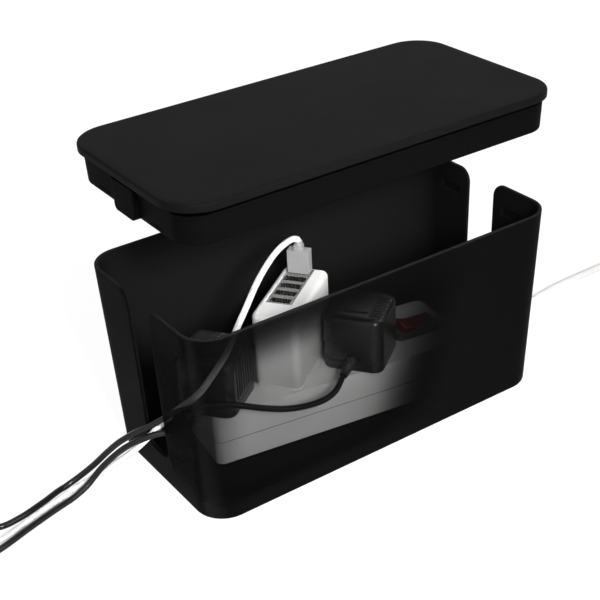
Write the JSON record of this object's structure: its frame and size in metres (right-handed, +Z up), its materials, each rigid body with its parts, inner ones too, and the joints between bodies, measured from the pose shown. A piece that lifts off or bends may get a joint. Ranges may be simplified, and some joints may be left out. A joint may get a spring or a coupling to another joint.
{
  "type": "cable management box",
  "caption": "Cable box with a lift-off snap lid and a slot in each end, holding a switched socket strip, a USB charger and plug-in adapters with their cords.",
  "frame": {"origin": "on the table under the middle of the tub, at the underside of its pads", "axes": "+X along the tub's length towards the mains lead's end, +Y to its back, +Z up towards the lid"},
  "size_m": [0.6041, 0.1576, 0.1866],
  "materials": {
    "box_black": "black moulded plastic, satin outside and finely textured on the lid",
    "pad_rubber": "dark grey rubber",
    "strip_white": "white moulded plastic, satin",
    "socket_white": "white moulded plastic, satin",
    "panel_grey": "mid grey moulded plastic, satin",
    "inner_black": "black plastic",
    "rocker_red": "red gloss plastic",
    "charger_white": "white moulded plastic, semi gloss",
    "board_green": "green circuit board",
    "plug_grey": "grey moulded plastic",
    "adapter_black": "black moulded plastic, semi gloss",
    "cable_white": "white flexible sheath, satin",
    "mains_white": "white flexible sheath, satin",
    "cord_black": "black flexible sheath, semi gloss",
    "steel": "nickel plated steel",
    "core_steel": "laminated core",
    "brass": "plain brass"
  },
  "bodies": {
    "box": {"tub": "box_black", "foot_pads": "pad_rubber", "strip_base": "strip_white", "strip_cover": "strip_white", "strip_feet": "pad_rubber", "strip_screws": "steel", "socket_inserts": "socket_white", "live_bus_bar": "brass", "neutral_bus_bar": "brass", "earth_bus_bar": "brass", "switch_frame": "panel_grey", "switch_block": "inner_black", "mains_gland": "strip_white", "charger_case": "charger_white", "charger_base": "charger_white", "charger_pins": "steel", "charger_board": "board_green", "usb_panel": "panel_grey", "usb_port_shells": "steel", "usb_port_tongues": "inner_black", "usb_plug_body": "plug_grey", "usb_plug_shell": "steel", "usb_cable": "cable_white", "usb_cable_coil": "cable_white", "usb_cable_connector": "cable_white", "usb_connector_tip": "steel", "left_adapter_cord": "cord_black", "left_cord_coil": "cord_black", "left_dc_connector": "cord_black", "right_adapter_cord": "cord_black", "right_cord_coil": "cord_black", "right_dc_connector": "cord_black", "dc_connector_barrels": "steel", "mains_lead": "mains_white", "mains_lead_coil": "mains_white", "mains_plug": "mains_white", "mains_plug_pins": "steel"},
    "lid": {"lid": "box_black"},
    "rocker": {"switch_rocker": "rocker_red"},
    "left_adapter": {"left_adapter_shell": "adapter_black", "left_adapter_base": "adapter_black", "left_adapter_pins": "steel", "left_adapter_transformer": "core_steel", "left_adapter_relief": "cord_black"},
    "right_adapter": {"right_adapter_shell": "adapter_black", "right_adapter_base": "adapter_black", "right_adapter_pins": "steel", "right_adapter_transformer": "core_steel", "right_adapter_relief": "cord_black"}
  },
  "joints": [
    {"name": "lid_lift", "type": "slide", "parent": "box", "child": "lid", "axis": [0, 0, 1], "range_m": [-0.0668, 0]},
    {"name": "rocker_tilt", "type": "hinge", "parent": "box", "child": "rocker", "pos_m": [0.05737, -0.0074, 0.037], "axis": [0.1444, 0.9895, 0], "range_deg": [-16, 0]},
    {"name": "left_adapter_pull", "type": "slide", "parent": "box", "child": "left_adapter", "axis": [0, 0, 1], "range_m": [0, 0.0195]},
    {"name": "right_adapter_pull", "type": "slide", "parent": "box", "child": "right_adapter", "axis": [0, 0, 1], "range_m": [0, 0.0195]}
  ]
}
